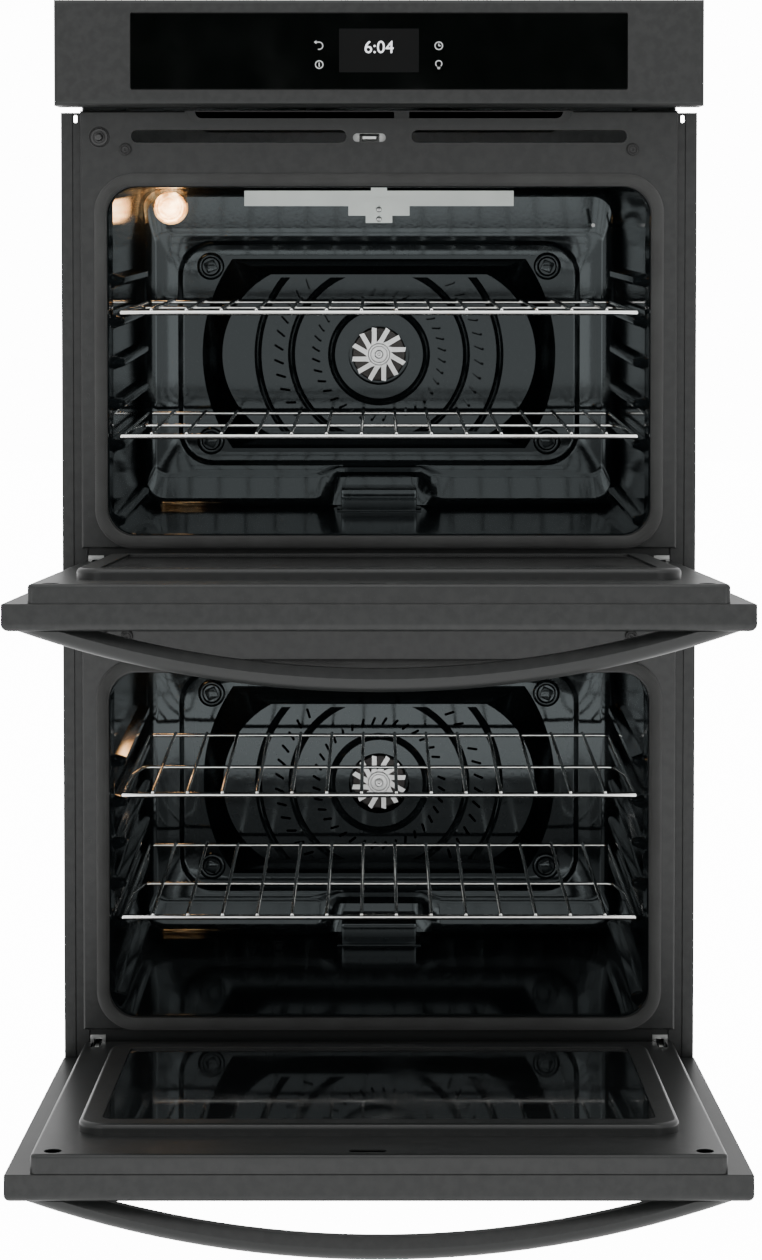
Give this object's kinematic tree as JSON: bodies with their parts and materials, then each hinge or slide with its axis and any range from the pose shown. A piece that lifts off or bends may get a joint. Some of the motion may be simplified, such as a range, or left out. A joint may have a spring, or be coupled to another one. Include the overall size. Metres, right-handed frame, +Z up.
{
  "type": "double wall oven",
  "caption": "Built-in double electric wall oven with a touch control panel on top, drop-down doors hanging open, wire racks and rear convection fans.",
  "frame": {"origin": "middle of the underside, on the plane of the cabinet face that the side trims lie against", "axes": "+X to the right seen from the front, +Y into the cabinet, +Z up"},
  "size_m": [0.762, 1.1776, 1.318],
  "materials": {
    "galvanised": "spangled zinc coat",
    "front_enamel": "satin dark grey enamel",
    "cavity_enamel": "glossy blue-black speckled enamel",
    "panel_paint": "satin dark grey",
    "black_glass": "gloss black ceramic-printed glass",
    "clear_glass": "polished, grey tinted",
    "chrome": "bright plated wire",
    "aluminium": "pressed sheet, satin",
    "gasket_braid": "woven glass-fibre braid over wire",
    "rubber": "matt",
    "mineral_wool": "loose fibre",
    "element_sheath": "heat-blackened alloy sheath",
    "bracket_steel": "aluminised sheet",
    "steel": "zinc plated",
    "motor_steel": "plated shell",
    "porcelain": "unglazed",
    "lamp_glass": "moulded borosilicate",
    "circuit_board": "solder mask",
    "plastic": "moulded, heat resistant"
  },
  "bodies": {
    "cabinet": {"side_panels": "galvanised", "back_panel": "galvanised", "base_pan": "galvanised", "top_panel": "galvanised", "mid_divider": "galvanised", "front_frame_lower": "front_enamel", "front_frame_upper": "front_enamel", "side_trims": "panel_paint", "bottom_trim": "panel_paint", "insulation": "mineral_wool", "broil_elements": "element_sheath", "broil_brackets": "bracket_steel", "bake_elements": "element_sheath", "ring_elements": "element_sheath", "fan_motors": "motor_steel", "lamp_lenses": "lamp_glass", "lamp_sockets": "porcelain", "lamp_bulbs": "lamp_glass", "temperature_probes": "steel", "cavity_screws": "steel", "switch_bodies": "plastic", "bumpers": "rubber", "latch_boxes": "steel", "hinge_receivers": "steel", "hinge_arms": "steel", "control_housing": "panel_paint", "control_glass": "black_glass", "control_board": "circuit_board", "air_outlet": "front_enamel", "blower_housing": "galvanised", "conduit_gland": "steel", "cavity_lower": "cavity_enamel", "gasket_lower": "gasket_braid", "fan_baffle_lower": "cavity_enamel", "cavity_upper": "cavity_enamel", "gasket_upper": "gasket_braid", "fan_baffle_upper": "cavity_enamel"},
    "door_lower": {"door_skin_lower": "panel_paint", "door_glass_lower": "black_glass", "door_liner_lower": "front_enamel", "inner_glass_lower": "clear_glass", "handle_lower": "panel_paint", "hinge_channels_lower": "steel"},
    "rack_lower_bottom": {"rack_lower_bottom": "chrome"},
    "rack_lower_top": {"rack_lower_top": "chrome"},
    "fan_lower": {"fan_wheel_lower": "aluminium"},
    "switch_plunger_lower": {"plunger_lower": "plastic"},
    "latch_lower": {"latch_hook_lower": "steel"},
    "door_upper": {"door_skin_upper": "panel_paint", "door_glass_upper": "black_glass", "door_liner_upper": "front_enamel", "inner_glass_upper": "clear_glass", "handle_upper": "panel_paint", "hinge_channels_upper": "steel"},
    "rack_upper_bottom": {"rack_upper_bottom": "chrome"},
    "rack_upper_top": {"rack_upper_top": "chrome"},
    "fan_upper": {"fan_wheel_upper": "aluminium"},
    "switch_plunger_upper": {"plunger_upper": "plastic"},
    "latch_upper": {"latch_hook_upper": "steel"},
    "blower": {"blower_wheel": "aluminium"}
  },
  "joints": [
    {"name": "door_lower_hinge", "type": "hinge", "parent": "cabinet", "child": "door_lower", "pos_m": [0, -0.032, 0.059], "axis": [1, 0, 0], "range_deg": [-85.5, 0]},
    {"name": "rack_lower_bottom_slide", "type": "slide", "parent": "cabinet", "child": "rack_lower_bottom", "axis": [0, -1, 0], "range_m": [0, 0.3]},
    {"name": "rack_lower_top_slide", "type": "slide", "parent": "cabinet", "child": "rack_lower_top", "axis": [0, -1, 0], "range_m": [0, 0.3]},
    {"name": "fan_lower_spin", "type": "hinge", "parent": "cabinet", "child": "fan_lower", "pos_m": [0, 0.441, 0.2956], "axis": [0, 1, 0], "continuous": true},
    {"name": "plunger_lower_push", "type": "slide", "parent": "cabinet", "child": "switch_plunger_lower", "axis": [0, -1, 0], "range_m": [-0.0063, 0], "stiffness_N_per_m": 150, "springref_m": 0.004},
    {"name": "latch_lower_bolt", "type": "slide", "parent": "cabinet", "child": "latch_lower", "axis": [0, -1, 0], "range_m": [0, 0.03]},
    {"name": "door_upper_hinge", "type": "hinge", "parent": "cabinet", "child": "door_upper", "pos_m": [0, -0.032, 0.641], "axis": [1, 0, 0], "range_deg": [-85.5, 0]},
    {"name": "rack_upper_bottom_slide", "type": "slide", "parent": "cabinet", "child": "rack_upper_bottom", "axis": [0, -1, 0], "range_m": [0, 0.3]},
    {"name": "rack_upper_top_slide", "type": "slide", "parent": "cabinet", "child": "rack_upper_top", "axis": [0, -1, 0], "range_m": [0, 0.3]},
    {"name": "fan_upper_spin", "type": "hinge", "parent": "cabinet", "child": "fan_upper", "pos_m": [0, 0.441, 0.8776], "axis": [0, 1, 0], "continuous": true},
    {"name": "plunger_upper_push", "type": "slide", "parent": "cabinet", "child": "switch_plunger_upper", "axis": [0, -1, 0], "range_m": [-0.0063, 0], "stiffness_N_per_m": 150, "springref_m": 0.004},
    {"name": "latch_upper_bolt", "type": "slide", "parent": "cabinet", "child": "latch_upper", "axis": [0, -1, 0], "range_m": [0, 0.03]},
    {"name": "blower_spin", "type": "hinge", "parent": "cabinet", "child": "blower", "pos_m": [0, 0.36, 1.23], "axis": [0, 0, 1], "continuous": true}
  ]
}
